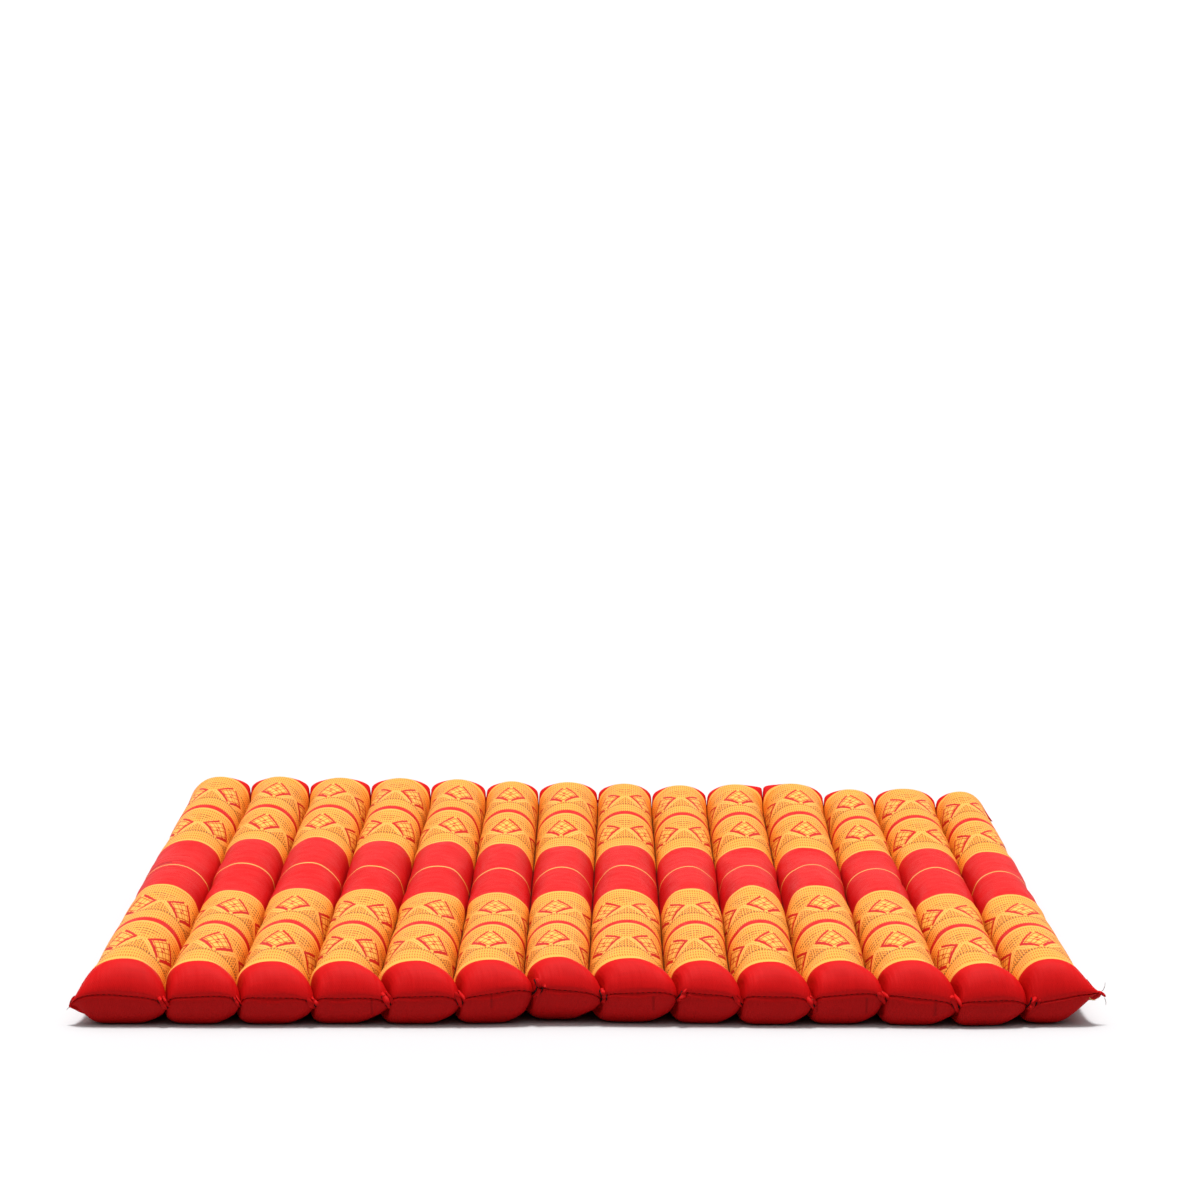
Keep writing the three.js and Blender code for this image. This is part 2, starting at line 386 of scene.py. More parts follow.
class Value:
    """A shader socket that takes part in Python expressions."""

    def __init__(self, graph: "Graph", socket: bpy.types.NodeSocket) -> None:
        """Wrap one output socket of a graph."""
        self.graph = graph
        self.socket = socket

    def __add__(self, other: "Value | float") -> "Value":
        """Sum."""
        return self.graph.math("ADD", self, other)

    __radd__ = __add__

    def __sub__(self, other: "Value | float") -> "Value":
        """Difference."""
        return self.graph.math("SUBTRACT", self, other)

    def __rsub__(self, other: float) -> "Value":
        """Difference with a number first."""
        return self.graph.math("SUBTRACT", other, self)

    def __mul__(self, other: "Value | float") -> "Value":
        """Product."""
        return self.graph.math("MULTIPLY", self, other)

    __rmul__ = __mul__

    def __truediv__(self, other: "Value | float") -> "Value":
        """Quotient."""
        return self.graph.math("DIVIDE", self, other)

    def __abs__(self) -> "Value":
        """Size without sign."""
        return self.graph.math("ABSOLUTE", self)

    def __lt__(self, other: "Value | float") -> "Value":
        """Mask of 1 where this is smaller."""
        return self.graph.math("LESS_THAN", self, other)

    def __gt__(self, other: "Value | float") -> "Value":
        """Mask of 1 where this is larger."""
        return self.graph.math("GREATER_THAN", self, other)

    def __or__(self, other: "Value") -> "Value":
        """Mask of 1 where either mask is."""
        return self.graph.math("MAXIMUM", self, other)

    def wrapped(self, low: float, high: float) -> "Value":
        """Fold into the range from low to high."""
        return self.graph.math("WRAP", self, high, low)

    def between(self, low: float, high: float) -> "Value":
        """Mask of 1 inside a range."""
        return (self > low) * (self < high)

    def fading(self, reach: float) -> "Value":
        """Fade from 1 at zero to 0 at a reach."""
        return self.graph.math("MAXIMUM", 1.0 - self / reach, 0.0)


class Graph:
    """The emptied node tree of a material or of the world."""

    bump_strength = 0.6
    specular = 0.1

    def __init__(self, owner: bpy.types.Material | bpy.types.World) -> None:
        """Start over in the nodes of a material or a world."""
        owner.use_nodes = True
        self.tree = owner.node_tree
        self.tree.nodes.clear()

    def node(
        self,
        kind: str,
        settings: Mapping[str, object] | None = None,
        inputs: Mapping[str | int, object] | None = None,
    ) -> bpy.types.Node:
        """Add a node.

        Args:
            kind: Blender's node type.
            settings: Properties of the node, set first.
            inputs: Values or links of its sockets, by name or number.

        Returns:
            The new node.
        """
        made = self.tree.nodes.new(kind)
        for name, value in (settings or {}).items():
            setattr(made, name, value)
        for key, value in (inputs or {}).items():
            socket = made.inputs[key]
            if isinstance(value, Value):
                self.tree.links.new(value.socket, socket)
            else:
                socket.default_value = value
        return made

    def out(self, made: bpy.types.Node, socket: str | int = 0) -> Value:
        """One output of a node as a value."""
        return Value(self, made.outputs[socket])

    def math(self, operation: str, *terms: "Value | float") -> Value:
        """Add a Math node and give its result."""
        return self.out(self.node("ShaderNodeMath", {"operation": operation}, dict(enumerate(terms))))

    def mix(
        self, factor: Value, base: "Value | Colour", other: "Value | Colour", blend: str = "MIX"
    ) -> Value:
        """Lay one colour over another where factor is 1.

        Args:
            factor: How much of the second colour is laid on.
            base: Colour below.
            other: Colour on top.
            blend: Blender's way of laying it on.

        Returns:
            The mixed colour.
        """
        inputs = {0: factor, 6: self.rgba(base), 7: self.rgba(other)}
        settings = {"data_type": "RGBA", "blend_type": blend}
        return self.out(self.node("ShaderNodeMix", settings, inputs), 2)

    @staticmethod
    def rgba(colour: "Value | Colour") -> object:
        """A socket as it is, a plain colour with its alpha."""
        return colour if isinstance(colour, Value) else (*colour, 1.0)

    def tinted(self, colour: "Value | Colour", shade: Value) -> Value:
        """Darken and lighten a colour a little by a shade around 0."""
        inputs = {"Value": shade + 1.0, "Color": self.rgba(colour)}
        return self.out(self.node("ShaderNodeHueSaturation", None, inputs))

    def map_place(self, name: str) -> tuple[Value, Value]:
        """Millimetres along both directions of one of the piece's own maps."""
        uv = self.node("ShaderNodeUVMap", {"uv_map": name})
        parts = self.node("ShaderNodeSeparateXYZ", None, {0: self.out(uv)})
        return self.out(parts, 0) / MM, self.out(parts, 1) / MM

    def own_place(self) -> tuple[Value, Value, Value]:
        """Millimetres in the piece's own frame: across, back and up."""
        where = self.node("ShaderNodeTexCoord")
        parts = self.node("ShaderNodeSeparateXYZ", None, {0: self.out(where, "Object")})
        return self.out(parts, 0) / MM, self.out(parts, 1) / MM, self.out(parts, 2) / MM

    def noise(self, x: "Value | float", y: "Value | float", scale: float, detail: float) -> Value:
        """Soft noise from -0.5 to 0.5 over a plane."""
        place = self.node("ShaderNodeCombineXYZ", None, {0: x, 1: y})
        inputs = {"Vector": self.out(place), "Scale": scale, "Detail": detail}
        return self.out(self.node("ShaderNodeTexNoise", {"noise_dimensions": "2D"}, inputs)) - 0.5

    def shade(self, colour: Value, roughness: float, height: Value, depth: float) -> None:
        """Finish the material as cloth.

        Args:
            colour: Base colour.
            roughness: Roughness.
            height: Bump height from 0 to 1.
            depth: Bump depth in metres.
        """
        inputs = {"Strength": self.bump_strength, "Distance": depth, "Height": height}
        bump = self.node("ShaderNodeBump", None, inputs)
        shader = self.node("ShaderNodeBsdfPrincipled", None, {
            "Base Color": colour,
            "Roughness": roughness,
            "Specular IOR Level": self.specular,
            "Normal": self.out(bump),
        })
        output = self.node("ShaderNodeOutputMaterial")
        self.tree.links.new(shader.outputs[0], output.inputs[0])


# Finishes

@dataclass(frozen=True)
class Tuck:
    """A short upright crease below the front seam, pressed in by bump and darkened with painted shade."""

    x: float
    top: float
    bottom: float
    width: float = 1.2
    depth: float = 6.0
    shade: float = 0.25


FRONT_TUCKS = (
    Tuck(-153, 22, 9),
    Tuck(-67, 24, 14),
    Tuck(49, 23, 12),
    Tuck(66, 22, 11),
    Tuck(166, 21, 11),
    Tuck(202, 22, 10),
    Tuck(251, 20, 9, width=1.4),
)


@dataclass(frozen=True)
class Crease:
    """A fine crease across a channel: its place along the cloth, where it starts and stops, its width, its
    bump depth and its painted shade.
    """

    along: float
    start: float
    stop: float
    width: float
    depth: float
    shade: float


BAND_CREASES = (
    Crease(10, -24, 12, 3.6, 9.0, 0.6),
    Crease(16, -16, 22, 2.0, 5.0, 0.3),
    Crease(26, -24, 16, 1.8, 4.0, 0.2),
    Crease(38, -14, 24, 1.6, 4.0, 0.18),
    Crease(-11, -6, 20, 1.8, 5.0, 0.25),
    Crease(-17, -16, 10, 1.5, 4.0, 0.18),
)


@dataclass(frozen=True)
class PlainCotton:
    """Plain weave in one colour, with uneven yarn and puckers along the end seams; the puckers carry painted
    shade.
    """

    name: str = "plain_red_cotton"
    colour: Colour = (0.50, 0.002, 0.0025)
    slub: float = 0.15
    yarn: float = 0.7
    mapped: bool = True
    roughness: float = 0.62
    relief_depth: float = 0.0002
    pucker_reach: float = 16.0
    pucker_relief: float = 6.0
    pucker_shade: float = 0.1
    pucker_grain: tuple[float, float] = (0.3, 0.03)
    lump_relief: float = 7.0
    lump_grain: float = 0.07
    streak_grain: tuple[float, float] = (0.03, 0.9)
    cloud_grain: float = 0.02
    tucks: tuple[Tuck, ...] = ()

    def weave(self, graph: Graph, across: Value, along: Value) -> tuple[Value, Value]:
        """Yarn relief and the slubby unevenness of plain cotton.

        Args:
            graph: The material's nodes.
            across: Millimetres across the cloth.
            along: Millimetres along the cloth.

        Returns:
            Relief from 0 to 1, and a shade around 0: the yarn's own uneven tone plus painted shade on the
                puckers.
        """
        turn = math.pi / self.yarn
        warp = graph.math("SINE", across * turn)
        weft = graph.math("SINE", along * turn)
        near_seam = (FORM.length / 2 - abs(along)).fading(self.pucker_reach)
        wide, long = self.pucker_grain
        pucker = graph.noise(across * wide, along * long, 1.0, 2.0) * near_seam
        lump = graph.noise(across * self.lump_grain, along * self.lump_grain, 1.0, 1.0)
        relief = warp * weft * 0.5 + 0.5 + pucker * self.pucker_relief + lump * self.lump_relief
        wide, long = self.streak_grain
        streak = graph.noise(across * wide, along * long, 1.0, 3.0)
        cloud = graph.noise(across * self.cloud_grain, along * self.cloud_grain, 1.0, 2.0)
        # Streaks and clouds are the yarn's own tone; the pucker term is painted shade that follows the
        # pucker relief.
        return relief, (streak + cloud) * self.slub + pucker * self.pucker_shade

    def material(self) -> bpy.types.Material:
        """Make the material."""
        material = bpy.data.materials.new(self.name)
        graph = Graph(material)
        x, y, z = graph.own_place()
        across, along = graph.map_place("cloth") if self.mapped else (x, z)
        relief, shade = self.weave(graph, across, along)
        # Tucks: a bump trough, and painted shade that darkens the colour along it.
        for tuck in self.tucks:
            fold = abs(x - tuck.x).fading(tuck.width)
            fold = fold * z.between(tuck.bottom, tuck.top) * (y < 0.0)
            relief = relief - fold * tuck.depth
            shade = shade - fold * tuck.shade
        graph.shade(graph.tinted(self.colour, shade), self.roughness, relief, self.relief_depth)
        return material


@dataclass(frozen=True)
class Speckle:
    """A grid of small woven marks: half its pitch and half a mark, across the cloth and along it."""

    across_pitch: float
    across_mark: float
    along_pitch: float
    along_mark: float

    def mask(self, across: Value, along: Value) -> Value:
        """Mask of 1 on the marks.

        Args:
            across: Millimetres across the cloth.
            along: Millimetres along the cloth.

        Returns:
            The mask.
        """
        columns = abs(across.wrapped(-self.across_pitch, self.across_pitch)) < self.across_mark
        return columns * (abs(along.wrapped(-self.along_pitch, self.along_pitch)) < self.along_mark)


@dataclass(frozen=True)
class FiguredCotton(PlainCotton):
    """Figured cotton: red bands, and orange blocks with rows of charted diamonds, with painted shade in the
    valleys and along the creases.
    """

    name: str = "figured_cotton"
    half_middle: float = 84.0
    block: float = 248.5
    stripe: float = 12.0
    gold_width: float = 2.6
    edge_width: float = 3.6
    period: float = 37.0
    diamond_half_width: float = 13.0
    diamond_half_length: float = 29.0
    diamond_middle: float = 66.0
    outline: float = 1.6
    outline_growth: float = 0.2
    gap: float = 1.5
    zone_margin: float = 1.5
    halo_lines: tuple[tuple[float, float], ...] = ((3.2, 0.7), (5.8, 0.6))
    hatch_start: float = 7.2
    lattice_middle: float = 0.46
    lattice_spread: float = 0.26
    lattice_line: float = 0.05
    heart_half_width: float = 1.1
    heart_run: tuple[float, float] = (1.5, 5.0)
    tooth_run: tuple[float, float] = (0.42, 0.62)
    tooth_depth: float = 2.4
    border_drop: float = 3.0
    border_half: float = 1.5
    border_pitch: float = 1.2
    border_dot: float = 0.8
    ticks: Speckle = Speckle(0.95, 0.4, 3.9, 2.4)
    hatch: Speckle = Speckle(1.3, 0.75, 3.6, 1.8)
    orange: Colour = (0.76, 0.30, 0.043)
    deep_orange: Colour = (0.46, 0.085, 0.004)
    yellow: Colour = (0.78, 0.36, 0.075)
    pale: Colour = (0.78, 0.37, 0.065)
    gold: Colour = GOLD_THREAD
    brown: Colour = (0.14, 0.045, 0.006)
    figure: Colour = (0.44, 0.001, 0.002)
    # Painted shadow: near-black colour laid along the bottom of each valley.
    shadow: Colour = (0.006, 0.001, 0.0005)
    # Painted shade: multiplied into the colour on the flanks near each sewn valley, deepening it.
    flank_shade: Colour = (1.0, 0.66, 0.12)
    flank_shade_reach: float = 17.0
    bottom_reach: float = 3.0
    creases: tuple[Crease, ...] = ()

    def material(self) -> bpy.types.Material:
        """Make the material."""
        material = bpy.data.materials.new(self.name)
        graph = Graph(material)
        across, along = graph.map_place("cloth")
        relief, shade = self.weave(graph, across, along)
        start = self.half_middle + self.block
        run = along + start - (along > 0.0) * (start + self.half_middle)
        in_block = run.between(0.0, self.block)
        half = self.block / 2
        before_stripe = half - self.stripe / 2
        colour = self.row_colour(graph, across, run.wrapped(0.0, half))
        edge = (run < self.edge_width) | (run > self.block - self.edge_width)
        edge = edge | run.between(before_stripe - self.edge_width, before_stripe)
        colour = graph.mix(edge * 0.8, colour, self.yellow)
        stripe = abs(run - half) < self.stripe / 2
        colour = graph.mix(stripe, colour, self.colour)
        gold = abs(along) < self.gold_width / 2
        red = graph.mix(gold, self.colour, self.gold)
        colour = graph.mix(in_block, red, colour)
        depth, _ = graph.map_place("valley")
        # Painted shade: the colour deepens on the flanks towards each sewn valley.
        colour = graph.mix(depth.fading(self.flank_shade_reach), colour, self.flank_shade, "MULTIPLY")
        # Painted shadow: a near-black line along the bottom of each valley.
        colour = graph.mix(depth.fading(self.bottom_reach), colour, self.shadow)
        # Creases: a bump trough, and painted shade that darkens the colour along it.
        for crease in self.creases:
            fold = abs(along - crease.along).fading(crease.width)
            fold = fold * across.between(crease.start, crease.stop)
            relief = relief - fold * crease.depth
            shade = shade - fold * crease.shade
        graph.shade(graph.tinted(colour, shade), self.roughness, relief, self.relief_depth)
        return material

    def row_colour(self, graph: Graph, across: Value, along: Value) -> Value:
        """Colour of one row of the orange block.

        Args:
            graph: The material's nodes.
            across: Millimetres across the cloth.
            along: Millimetres from the front edge of the row.

        Returns:
            The charted colour.
        """
        offset = across.wrapped(-self.period / 2, self.period / 2)
        side = abs(offset)
        rise = along - self.diamond_middle
        p = side / self.diamond_half_width
        q = abs(rise) / self.diamond_half_length
        ring = p + q
        lower = rise < 0.0
        colour = graph.mix(self.ticks.mask(across, along) * 0.9, self.orange, self.deep_orange)
        steep = 1.0 / math.hypot(1 / self.diamond_half_width, 1 / self.diamond_half_length)
        beyond = (ring - 1.0) * steep
        in_zone = abs(rise) < self.diamond_half_length + self.zone_margin
        inner_line, outer_line = (abs(beyond - place) < half for place, half in self.halo_lines)
        colour = graph.mix((inner_line | outer_line) * in_zone * lower, colour, self.yellow)
        hatch = self.hatch.mask(across, along) * (beyond > self.hatch_start) * in_zone
        colour = graph.mix(hatch * 0.75, colour, self.brown)
        inside = ring < 1.0
        colour = graph.mix(inside, colour, self.pale)
        first = offset / self.diamond_half_width
        second = rise / self.diamond_half_length
        lattice = self.slanted_lines(first + second) | self.slanted_lines(first - second)
        colour = graph.mix(lattice * inside, colour, self.deep_orange)
        heart = (side < self.heart_half_width) * abs(rise).between(*self.heart_run)
        colour = graph.mix(heart, colour, self.figure)
        width = self.outline * (1.0 - self.outline_growth / 2 + self.outline_growth * lower)
        tooth = lower * p.between(*self.tooth_run) * beyond.between(-self.tooth_depth, 0.0)
        line = ((abs(beyond) < width) | tooth) * (side > self.gap)
        colour = graph.mix(line, colour, self.figure)
        below = abs(rise + self.diamond_half_length + self.border_drop) < self.border_half
        dotted = below * (abs(across.wrapped(-self.border_pitch, self.border_pitch)) < self.border_dot)
        return graph.mix(dotted * 0.95, colour, self.brown)

    def slanted_lines(self, slant: Value) -> Value:
        """Mask of the lattice lines inside a diamond that run along one slant."""
        return abs(abs(abs(slant) - self.lattice_middle) - self.lattice_spread) < self.lattice_line


@dataclass(frozen=True)
class SewingThread:
    """Twisted sewing thread."""

    name: str = "dark_red_thread"
    colour: Colour = (0.02, 0.0008, 0.001)
    ply: float = 0.5
    roughness: float = 0.6
    relief_depth: float = 0.0001
    unevenness: float = 0.3

    def material(self) -> bpy.types.Material:
        """Make the material."""
        material = bpy.data.materials.new(self.name)
        graph = Graph(material)
        across, _, up = graph.own_place()
        relief = graph.math("SINE", (across + up) * (2 * math.pi / self.ply)) * 0.5 + 0.5
        shade = (relief - 0.5) * self.unevenness
        graph.shade(graph.tinted(self.colour, shade), self.roughness, relief, self.relief_depth)
        return material


@dataclass(frozen=True)
class PaleGround:
    """Matt pale studio floor."""

    name: str = "pale_ground"
    colour: Colour = (0.485, 0.485, 0.49)

    def material(self) -> bpy.types.Material:
        """Make the material."""
        material = bpy.data.materials.new(self.name)
        graph = Graph(material)
        shader = graph.node("ShaderNodeBsdfPrincipled", None, {
            "Base Color": (*self.colour, 1.0), "Roughness": 0.9, "Specular IOR Level": 0.1,
        })
        output = graph.node("ShaderNodeOutputMaterial")
        graph.tree.links.new(shader.outputs[0], output.inputs[0])
        return material


# Pieces

def linked(name: str, mesh: bpy.types.Mesh) -> bpy.types.Object:
    """Put a mesh into the scene as a piece.

    Args:
        name: Name of the piece.
        mesh: Its mesh, in place.

    Returns:
        The new object.
    """
    piece = bpy.data.objects.new(name, mesh)
    bpy.context.scene.collection.objects.link(piece)
    return piece


def coordinates(mesh: bpy.types.Mesh) -> np.ndarray:
    """The points of a mesh as rows of x, y and z."""
    flat = np.empty(len(mesh.vertices) * 3)
    mesh.vertices.foreach_get("co", flat)
    return flat.reshape(-1, 3)


@dataclass
class MatCover:
    """The sewn and stuffed cover: a top and an underside panel, joined all round."""

    half_stations: tuple[float, ...] = (0, 0.27, 0.52, 0.73, 0.87, 0.955, 0.993, 1)
    cap_rows: tuple[float, ...] = (0, 0.01, 0.05, 0.2, 0.7, 1.7, 3.2, 5.5, 8.5, 12, 16, 21, 28, 37, 49)
    middle_rows: int = 16
    pressure: float = 4.0
    slack: float = -0.004
    frames: int = 20
    movement: float = 1.8
    wall_gap: float = 0.1
    sewn_crease: float = 0.7
    map_margin: float = 0.05
    motif_start: float = 0.15
    motif_run: float = 0.7
    channel_repeats: int = 8
    gold_hold: float = 1.25
    places: dict[tuple[Panel, int, int], Vector] = field(default_factory=dict)

    @property
    def stations(self) -> np.ndarray:
        """Places across a channel from -1 to 1, close together beside the sewn lines."""
        half = np.array(self.half_stations)
        return np.concatenate([-half[:0:-1], half])

    @property
    def columns(self) -> int:
        """Columns across one channel."""
        return len(self.stations) - 1

    @property
    def width(self) -> int:
        """Columns across the whole mat."""
        return self.columns * len(CHANNELS)

    def shares(self) -> np.ndarray:
        """Rows of the cloth as shares of its length, close together near the ends."""
        half = FORM.length / 2
        rest = np.linspace(self.cap_rows[-1], half, self.middle_rows + 1)[1:]
        front = np.concatenate([np.array(self.cap_rows), rest]) / FORM.length
        return np.concatenate([front, 1 - front[-2::-1]])

    def build(self) -> bpy.types.Object:
        """Cut, sew, stuff and dress the cover.

        Returns:
            The finished piece.
        """
        shares = self.shares()
        bm = bmesh.new()
        layers = [bm.verts.layers.int.new(name) for name in ("column", "row", "panel")]
        for panel in Panel:
            self.cut_panel(bm, panel, shares, layers)
        bmesh.ops.remove_doubles(bm, verts=bm.verts, dist=1e-6)
        self.mark_creases(bm, layers)
        mesh = bpy.data.meshes.new("mat_cover")
        bm.to_mesh(mesh)
        bm.free()
        self.map_cloth(mesh, shares)
        mesh.materials.append(FiguredCotton(creases=BAND_CREASES).material())
        # The underside takes the darker red, which is painted shade on the lower lobes.
        underside = PlainCotton(colour=SHADED_UNDERSIDE_RED, tucks=FRONT_TUCKS)
        mesh.materials.append(underside.material())
        piece = linked("mat_cover", mesh)
        self.settle_on_frame(piece)
        self.stuff(piece)
        self.keep_places(mesh)
        smooth = piece.modifiers.new("smooth", "SUBSURF")
        smooth.levels = 1
        smooth.render_levels = 1
        return piece

    def cut_panel(
        self,
        bm: bmesh.types.BMesh,
        panel: Panel,
        shares: np.ndarray,
        layers: Sequence[bmesh.types.BMLayerItem],
    ) -> None:
        """Add one flat panel and lay it on the stuffed form.

        Args:
            bm: The cover so far.
            panel: Which cloth it is.
            shares: Rows along it.
            layers: Layers that keep a point's column, row and panel.
        """
        rows = len(shares) - 1
        made = bmesh.ops.create_grid(bm, x_segments=self.width, y_segments=rows, size=0.5)["verts"]
        flat = np.array([vert.co[:2] for vert in made]) + 0.5
        columns = np.rint(flat[:, 0] * self.width).astype(int)
        lines = np.rint(flat[:, 1] * rows).astype(int)
        channel = np.minimum(columns // self.columns, len(CHANNELS) - 1)
        across = self.stations[columns - channel * self.columns]
        shape = FORM.top if panel is Panel.TOP else FORM.under
        points = shape(channel, across, shares[lines])
        edge = (lines == 0) | (lines == rows) | (columns == 0) | (columns == self.width)
        points[edge] = FORM.edge_seam(channel, across, shares[lines])[edge]
        for vert, place, c, r in zip(made, points, columns, lines):
            vert.co = Vector(place) * MM
            for layer, value in zip(layers, (c, r, panel.value)):
                vert[layer] = int(value)
        for face in {face for vert in made for face in vert.link_faces}:
            face.material_index = panel.value
            face.smooth = True
            if panel is Panel.UNDER:
                face.normal_flip()

    def mark_creases(self, bm: bmesh.types.BMesh, layers: Sequence[bmesh.types.BMLayerItem]) -> None:
        """Keep the sewn lines and the outer seam sharp when the cloth is smoothed."""
        crease = bm.edges.layers.float.new("crease_edge")
        column = layers[0]
        for edge in bm.edges:
            first, second = (vert[column] for vert in edge.verts)
            sewn = first == second and first % self.columns == 0
            outer = len({face.material_index for face in edge.link_faces}) == 2
            edge[crease] = 1.0 if outer else self.sewn_crease if sewn else 0.0

    def map_cloth(self, mesh: bpy.types.Mesh, shares: np.ndarray) -> None:
        """Write the cloth map, across a channel's cloth and along it, and the map of the valleys.

        Args:
            mesh: The cover.
            shares: Rows along it.
        """
        columns, rows = self.numbers(mesh, "column"), self.numbers(mesh, "row")
        corners = np.empty(len(mesh.loops), int)
        mesh.loops.foreach_get("vertex_index", corners)
        by_face = columns[corners].reshape(-1, 4)
        channel = np.repeat(by_face.min(axis=1) // self.columns, 4)
        station = columns[corners] - channel * self.columns
        share = shares[rows[corners]]
        reach, depth = (values[channel, rows[corners], station] for values in self.cloth_reach(shares))
        front = np.array([c.motif_front for c in CHANNELS])[channel]
        back = np.array([c.motif_back for c in CHANNELS])[channel]
        cloth = FiguredCotton()
        part = np.clip((share - self.motif_start) / self.motif_run, 0, 1)
        offset = FORM.lerp(front, back, part) * cloth.period
        start = channel * self.channel_repeats * cloth.period
        along = (share - 0.5) * FORM.length
        gold = np.array([c.gold for c in CHANNELS])[channel]
        along = along - gold * np.clip(self.gold_hold * (1 - np.abs(along) / cloth.half_middle), 0, 1)
        maps = {"cloth": (reach - offset + start, along), "valley": (depth, np.zeros_like(depth))}
        for name, places in maps.items():
            uv = np.stack(places, axis=-1) * MM
            mesh.uv_layers.new(name=name).data.foreach_set("uv", uv.astype(np.float32).ravel())

    @staticmethod
    def numbers(mesh: bpy.types.Mesh, name: str) -> np.ndarray:
        """One whole number per point, by the name of its layer."""
        values = np.empty(len(mesh.vertices), np.int32)
        mesh.attributes[name].data.foreach_get("value", values)
        return values

    def cloth_reach(self, shares: np.ndarray) -> tuple[np.ndarray, np.ndarray]:
        """Millimetres of cloth to each station, by channel, row and station.

        Args:
            shares: Rows along the cloth.

        Returns:
            The way from the crest, and the way from the nearer sewn valley.
        """
        grid = np.meshgrid(np.arange(len(CHANNELS)), shares, self.stations, indexing="ij")
        channel, share, place = grid
        middle = np.clip(share, self.map_margin, 1 - self.map_margin)
        points = FORM.top(channel.ravel(), place.ravel(), middle.ravel()).reshape(*channel.shape, 3)
        steps = np.linalg.norm(np.diff(points[..., [0, 2]], axis=2), axis=-1)
        run = np.concatenate([np.zeros_like(steps[..., :1]), np.cumsum(steps, axis=2)], axis=2)
        from_left, from_right = run.copy(), run[..., -1:] - run
        from_left[0] = from_right[-1] = FORM.length
        crest = run[..., self.columns // 2: self.columns // 2 + 1]
        return run - crest, np.minimum(from_left, from_right)

    def settle_on_frame(self, piece: bpy.types.Object) -> None:
        """Centre the cover on the footprint of the solid that it stands for."""
        low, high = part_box(NODE)
        points = coordinates(piece.data)
        middle = (points.min(axis=0) + points.max(axis=0)) / 2
        target = (low + high) / 2
        piece.data.transform(Matrix.Translation((target.x - middle[0], target.y - middle[1], 0.0)))

    def stuff(self, piece: bpy.types.Object) -> None:
        """Blow the sewn cover up as cloth, and keep what it does within a few millimetres."""
        mesh = piece.data
        column, row = self.numbers(mesh, "column"), self.numbers(mesh, "row")
        sewn = (column % self.columns == 0) | (row == 0) | (row == row.max())
        held = piece.vertex_groups.new(name="sewn")
        held.add(np.flatnonzero(sewn).tolist(), 1.0, "REPLACE")
        before = coordinates(mesh)
        cloth = piece.modifiers.new("stuffing", "CLOTH")
        cloth.settings.quality = 6
        cloth.settings.mass = 0.25
        cloth.settings.tension_stiffness = 18.0
        cloth.settings.compression_stiffness = 18.0
        cloth.settings.shear_stiffness = 6.0
        cloth.settings.bending_stiffness = 0.4
        cloth.settings.vertex_group_mass = held.name
        cloth.settings.shrink_min = self.slack
        cloth.settings.use_pressure = True
        cloth.settings.uniform_pressure_force = self.pressure
        cloth.settings.effector_weights.gravity = 0.0
        cloth.point_cache.frame_start = 1
        cloth.point_cache.frame_end = self.frames
        scene = bpy.context.scene
        for frame in range(1, self.frames + 1):
            scene.frame_set(frame)
        settled = piece.evaluated_get(bpy.context.evaluated_depsgraph_get()).to_mesh()
        after = coordinates(settled)
        piece.to_mesh_clear()
        piece.modifiers.remove(cloth)
        piece.vertex_groups.remove(held)
        scene.frame_set(1)
        LOG.info("stuffing moved the cloth up to %.1f mm", np.abs(after - before).max() / MM)
        mesh.vertices.foreach_set("co", self.kept_sewn(before, after, column, row).ravel())
        mesh.update()

    def kept_sewn(
        self, before: np.ndarray, after: np.ndarray, column: np.ndarray, row: np.ndarray
    ) -> np.ndarray:
        """Cap how far the cloth moved and keep each channel between its own sewn lines.

        Args:
            before: Points of the form.
            after: Points of the blown-up cloth.
            column: Column of each point.
            row: Row of each point.

        Returns:
            The points to keep.
        """
        move = after - before
        far = np.linalg.norm(move, axis=1, keepdims=True)
        limit = self.movement * MM
        points = before + move * np.where(far > limit, limit / np.maximum(far, TINY), 1.0)
        walls = np.full((row.max() + 1, len(SEWN_LINES)), np.nan)
        sewn = column % self.columns == 0
        walls[row[sewn], column[sewn] // self.columns] = before[sewn, 0]
        channel = np.minimum(column // self.columns, len(CHANNELS) - 1)
        left, right = walls[row, channel], walls[row, channel + 1]
        gap = self.wall_gap * MM
        inner_left = np.where(channel > 0, left + gap, -np.inf)
        inner_right = np.where(channel < len(CHANNELS) - 1, right - gap, np.inf)
        points[:, 0] = np.where(sewn, points[:, 0], np.clip(points[:, 0], inner_left, inner_right))
        points[:, 2] = np.where(before[:, 2] < ON_FLOOR, 0.0, np.maximum(points[:, 2], 0.0))
        return points

    def keep_places(self, mesh: bpy.types.Mesh) -> None:
        """Remember where each point of the cloth ended up, for what is sewn to it."""
        names = [self.numbers(mesh, name) for name in ("panel", "column", "row")]
        for vert, panel, column, row in zip(mesh.vertices, *names):
            self.places[Panel(panel), int(column), int(row)] = vert.co.copy()

    def place(self, panel: Panel, column: int, row: int) -> Vector:
        """Where a point of the cloth is; on the outer seam both panels share it."""
        both = (panel, *Panel)
        return next(self.places[side, column, row] for side in both if (side, column, row) in self.places)

    def last_row(self) -> int:
        """Number of the back row."""
        return len(self.shares()) - 1


def swelling(part: float, margin: float) -> float:
    """How full a roll is at a part of its length.

    Args:
        part: Place along it, 0 to 1.
        margin: Part at which it stops thinning out towards its ends.

    Returns:
        Fullness from nearly 0 at the ends to 1 in the middle.
    """
    return math.sin(math.pi * min(max(part, margin), 1 - margin))


